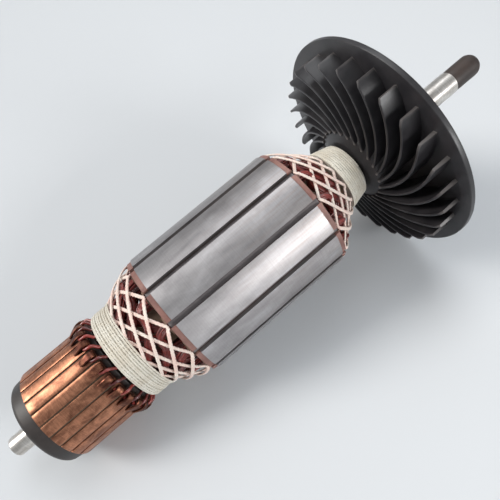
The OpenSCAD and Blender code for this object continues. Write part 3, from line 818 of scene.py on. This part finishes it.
def end_sizes(end):
    """Width and height of the bundle at the points of an end turn."""
    # It has its full change of size a quarter of the way to the nose.
    near = [min(1, 4 * t) for t in END_STEPS]
    half = [(mix(COIL_W, end.width, t), mix(COIL_H, end.height, t)) for t in near]
    return half + [(end.width, end.height)] + half[::-1]


def end_leans(end):
    """The bundle stands upright in its slots and leans with the cone between them."""
    lean = end.way * (COIL_TOP_R - end.outer_r) / end.length
    return [0] + [lean] * (2 * len(END_STEPS) - 1) + [0]


def eased(bundle, step, passes):
    """A closed run of (point, across, up), spaced evenly and with its bends rounded."""
    def between(a, b, t):
        return tuple(p.lerp(q, t) for p, q in zip(a, b))
    loop = bundle + bundle[:1]
    gone = [0.0]
    for a, b in zip(loop, loop[1:]):
        gone.append(gone[-1] + (b[0] - a[0]).length)
    count = round(gone[-1] / step)
    out, j = [], 0
    for k in range(count):
        at = gone[-1] * k / count
        while gone[j + 1] < at:
            j += 1
        out.append(between(loop[j], loop[j + 1], (at - gone[j]) / (gone[j + 1] - gone[j])))
    for _ in range(passes):
        out = [
            between(out[k], between(out[k - 1], out[(k + 1) % count], 0.5), 0.5)
            for k in range(count)
        ]
    return out


def coil_bundle():
    """A coil's path as (point, half width across, half height up), the same for every coil."""
    front, rear = OVERHANGS
    path = end_turn(front) + end_turn(rear)[::-1]
    sizes = end_sizes(front) + end_sizes(rear)
    leans = end_leans(front) + end_leans(rear)
    spine = smooth(path, SPINE_STEPS, True)
    bundle = []
    for k, p in enumerate(spine):
        j, t = divmod(k, SPINE_STEPS)
        t /= SPINE_STEPS
        m = (j + 1) % len(path)
        width, height = (mix(a, b, t) for a, b in zip(sizes[j], sizes[m]))
        along = (spine[(k + 1) % len(spine)] - spine[k - 1]).normalized()
        outward = Vector((p.x, p.y, 0)).normalized() + Vector((0, 0, mix(leans[j], leans[m], t)))
        across = along.cross(outward).normalized()
        bundle.append((p, across * width / 2, across.cross(along) * height / 2))
    return eased(bundle, BUNDLE_STEP, BUNDLE_PASSES)


BUNDLE = coil_bundle()
WIRES = [
    (mix(-WIRE_REACH, WIRE_REACH, (q + 0.5) / count) * fill, y)
    for y, count, fill in WIRE_ROWS for q in range(count)
]


def coil(i):
    """One coil as separate wires, which wander a little inside the bundle."""
    spin = Matrix.Rotation(math.radians(i * SLOT_PITCH), 3, "Z")
    b = Build()
    for x, y in WIRES:
        phase, dx, dy = rng.uniform(0, 6.28), rng.uniform(0.02, 0.07), rng.uniform(0.02, 0.06)
        wire = []
        for k, (p, across, up) in enumerate(BUNDLE):
            a = phase + 2 * math.pi * k * WIRE_WAVES / len(BUNDLE)
            wire.append(spin @ (p + across * (x + dx * math.cos(a)) + up * (y + dy * math.sin(a))))
        tube(b, wire, WIRE_R, 6, True)
    piece("wire_coil_%02d" % (i + 1), b, "enamelled_wire", ["coil_%02d" % (i + 1)], 75)


# ---------------------------------------------------------------- lacing and bands
LACING_STEPS, LACING_CURL, LACING_PITCH = 20, 0.3, 4.2
# How far a strand strays from its even course, in degrees.
LACING_SWAY = 1.6
FRONT_FULLNESS, REAR_FULLNESS = 0.75, 0.2
WINDING_STEPS, WINDING_PITCH = 72, 3.0


def lacing(name, node, rim_z, end_z, end_r, fullness):
    """The closed cord that runs between band and core and turns back at every slot."""
    path = []
    for k in range(SLOTS):
        sway = (rng.uniform(-LACING_SWAY, LACING_SWAY), rng.uniform(-LACING_SWAY, LACING_SWAY))
        for i in range(1 - LACING_STEPS, LACING_STEPS + 1):
            t = abs(i) / LACING_STEPS
            turning = i in (0, LACING_STEPS)
            drop = LACING_LAYER / 2 if turning else LACING_LAYER if i < 0 else 0
            swing = (1 - LACING_CURL) * t + LACING_CURL * t * t
            side = (i > 0) - (i < 0)
            angle = k * 2 * HALF_SPAN + side * HALF_SPAN * swing + sway[i > 0] * math.sin(math.pi * t)
            h = 1 - t
            dome = (1 - fullness) * h + fullness * math.sin(math.pi / 2 * h)
            path.append(polar(mix(end_r, RIM_R, dome) - drop, angle, mix(rim_z, end_z, t)))
    b = Build()
    lean = (RIM_R - end_r) / (end_z - rim_z)
    twisted(b, smooth(path, 2, True), CORD_W, CORD_T, LACING_PITCH, True, lean)
    piece(name, b, "lacing_cord", [node], 80)


def lacing_nets():
    half_w, half_t = CORD_W / 2, CORD_T / 2
    lacing("front_lacing", "front_lacing_net",
           FRONT_FACE - half_w, BAND_END + half_w, BAND_R - half_t, FRONT_FULLNESS)
    lacing("rear_lacing", "rear_lacing_net",
           REAR_FACE + half_w, REAR_BAND_Z - half_w, REAR_BAND_R - half_t, REAR_FULLNESS)


def winding(b, r_of, z0, z1, turns, width, thick):
    """Cord wound round the axis from z0 to z1, near the surface r_of(station), not quite evenly."""
    steps = int(turns * WINDING_STEPS)
    waves = [(rng.randint(2, 5), rng.uniform(0, 360), rng.uniform(0.04, 0.1)) for _ in range(4)]
    path = []
    for k in range(steps + 1):
        t = k / steps
        turn = 360 * turns * t
        wander = sum(size * math.sin(math.radians(at + turn * n / 3)) for n, at, size in waves)
        z = mix(z0, z1, t) + wander * math.sin(math.pi * t)
        path.append(polar(r_of(z) + 0.3 * wander - 0.06, turn, z))
    twisted(b, path, width, thick, WINDING_PITCH)


def front_band():
    """Seven turns of cord on a core, and two looser turns over the loops of the net."""
    b = Build()
    start, end, core_r = BAND_Z + 0.1, BAND_END - 0.1, BAND_R - 0.75
    b.lathe(rounded([
        (BAND_BORE_R, start, 0), (core_r, start, 0.2), (core_r, end, 0.2), (BAND_BORE_R, end, 0),
    ]), 96)

    def surface(z):
        off_middle = abs((z - BAND_Z) / (BAND_END - BAND_Z) * 2 - 1)
        return BAND_R - 0.42 - 0.3 * off_middle ** 3

    def over_loops(z):
        return BAND_R - 0.1 + 0.25 * (z - BAND_END)

    winding(b, surface, BAND_Z + 0.55, BAND_END - 0.55, 7.2, 1.1, 0.7)
    winding(b, over_loops, BAND_END - 0.2, BAND_END + 1.5, 2.3, 0.95, 0.7)
    piece("wound_front_band", b, "binding_cord", ["front_binding_band"], 60)


def rear_band():
    """Eight turns of cord on a core that narrows towards the fan."""
    b = Build()
    start, end = REAR_BAND_Z + 0.1, REAR_BAND_END - 0.1

    def surface(z):
        t = (z - REAR_BAND_Z) / (REAR_BAND_END - REAR_BAND_Z)
        return mix(REAR_BAND_R, REAR_BAND_SMALL_R, max(0, t)) - 0.5 - 0.5 * late(t, 0.85)

    core = [(surface(z) - 0.05, z) for z in (start, REAR_BAND_Z + 4, REAR_BAND_END - 1.5, end)]
    b.lathe([(TUBE_R, start), *core, (TUBE_R, end)], 96)
    winding(b, surface, REAR_BAND_Z + 0.6, REAR_BAND_END - 0.65, 8.6, 1.15, 0.8)
    piece("wound_rear_band", b, "binding_cord", ["rear_binding_band"], 60)


# ---------------------------------------------------------------- fan
BLADE_STEPS = 20
# How far a blade's foot reaches into the disc, and how far its root runs on into the hub.
FOOT_SINK, ROOT_RUN_ON = 0.4, 0.03
# The corner of the crest at the tip is rounded off over this share of the blade.
TIP_ROUND, TIP_DROP = 0.06, 0.7
# One side of a blade's section, from its crest down: half thickness and station from the crest.
CREST_SIDE = ((0.25, 0), (0.48, 0.14), (0.58, 0.5))
# And at its foot, with the draft of the mould: half thickness and station from the foot's end.
FOOT_SIDE = ((0.7, -0.7), (0.85, 0))


def blade_arc():
    """Centre, radius, and the angles at tip and root of the arc that a blade follows."""
    sweep, bow = math.radians(BLADE_SWEEP), math.radians(BLADE_BOW)
    outer = Vector((TIP_R, 0))
    inner = Vector((math.cos(sweep), math.sin(sweep))) * ROOT_R
    chord = inner - outer
    arc_r = chord.length / 2 / math.sin(bow)
    normal = Vector((-chord.y, chord.x)).normalized()
    centre = (outer + inner) / 2 + normal * arc_r * math.cos(bow)
    first = math.atan2(*(outer - centre).yx)
    last = math.atan2(*(inner - centre).yx)
    last += 2 * math.pi * round((first - last) / (2 * math.pi))
    return centre, arc_r, first, last + (last - first) * ROOT_RUN_ON


def blade(b, spin, arc):
    centre, arc_r, first, last = arc
    base = DISC_Z + FOOT_SINK
    rings = []
    for k in range(BLADE_STEPS + 1):
        t = k / BLADE_STEPS
        a = mix(first, last, t)
        normal = Vector((math.cos(a), math.sin(a)))
        p = centre + normal * arc_r
        crest = CREST_Z + BLADE_RISE * (p.length - ROOT_R) / (TIP_R - ROOT_R)
        if t < TIP_ROUND:
            crest += TIP_DROP * (1 - t / TIP_ROUND) ** 2
        side = [(w, crest + drop) for w, drop in CREST_SIDE] + [(w, base + rise) for w, rise in FOOT_SIDE]
        ring = []
        for w, z in side[::-1] + [(-w, z) for w, z in side]:
            q = spin @ (p + normal * w)
            ring.append(Vector((q.x, q.y, z)))
        rings.append(ring)
    b.rings(rings)


def fan():
    """One moulding: a hub that flares back to the disc, its boss, and the blades."""
    b = Build()
    b.lathe(rounded([
        (SHAFT_R, FAN_Z, 0), (TUBE_R + 4.4, FAN_Z, 0.6), (ROOT_R - 0.5, CREST_Z + 0.8, 1.0),
        (ROOT_R + 2, CREST_Z + 4.5, 2.0), (ROOT_R + 6, DISC_Z - 1, 3.0), (ROOT_R + 11, DISC_Z, 3.0),
        (FAN_R, DISC_Z, 0.4), (FAN_R, DISC_END, 0.4),
        (TUBE_R + 3, DISC_END, 0.8), (TUBE_R + 2, FAN_END, 0.6), (SHAFT_R, FAN_END, 0.3),
    ]), 180)
    arc = blade_arc()
    for i in range(BLADES):
        blade(b, Matrix.Rotation(math.radians(360 * i / BLADES + FAN_TURN), 2), arc)
    piece("bladed_fan", b, "fan_plastic", ["fan"], 40)


# ---------------------------------------------------------------- the whole
# The pieces are made in this order, which keeps the random draws the same from run to run.
shaft()
end_cap()
commutator_hub()
for number in range(BARS):
    commutator_bar(number)
lead_wires()
cad_pieces()
for number in range(SLOTS):
    coil(number)
lacing_nets()
front_band()
rear_band()
fan()
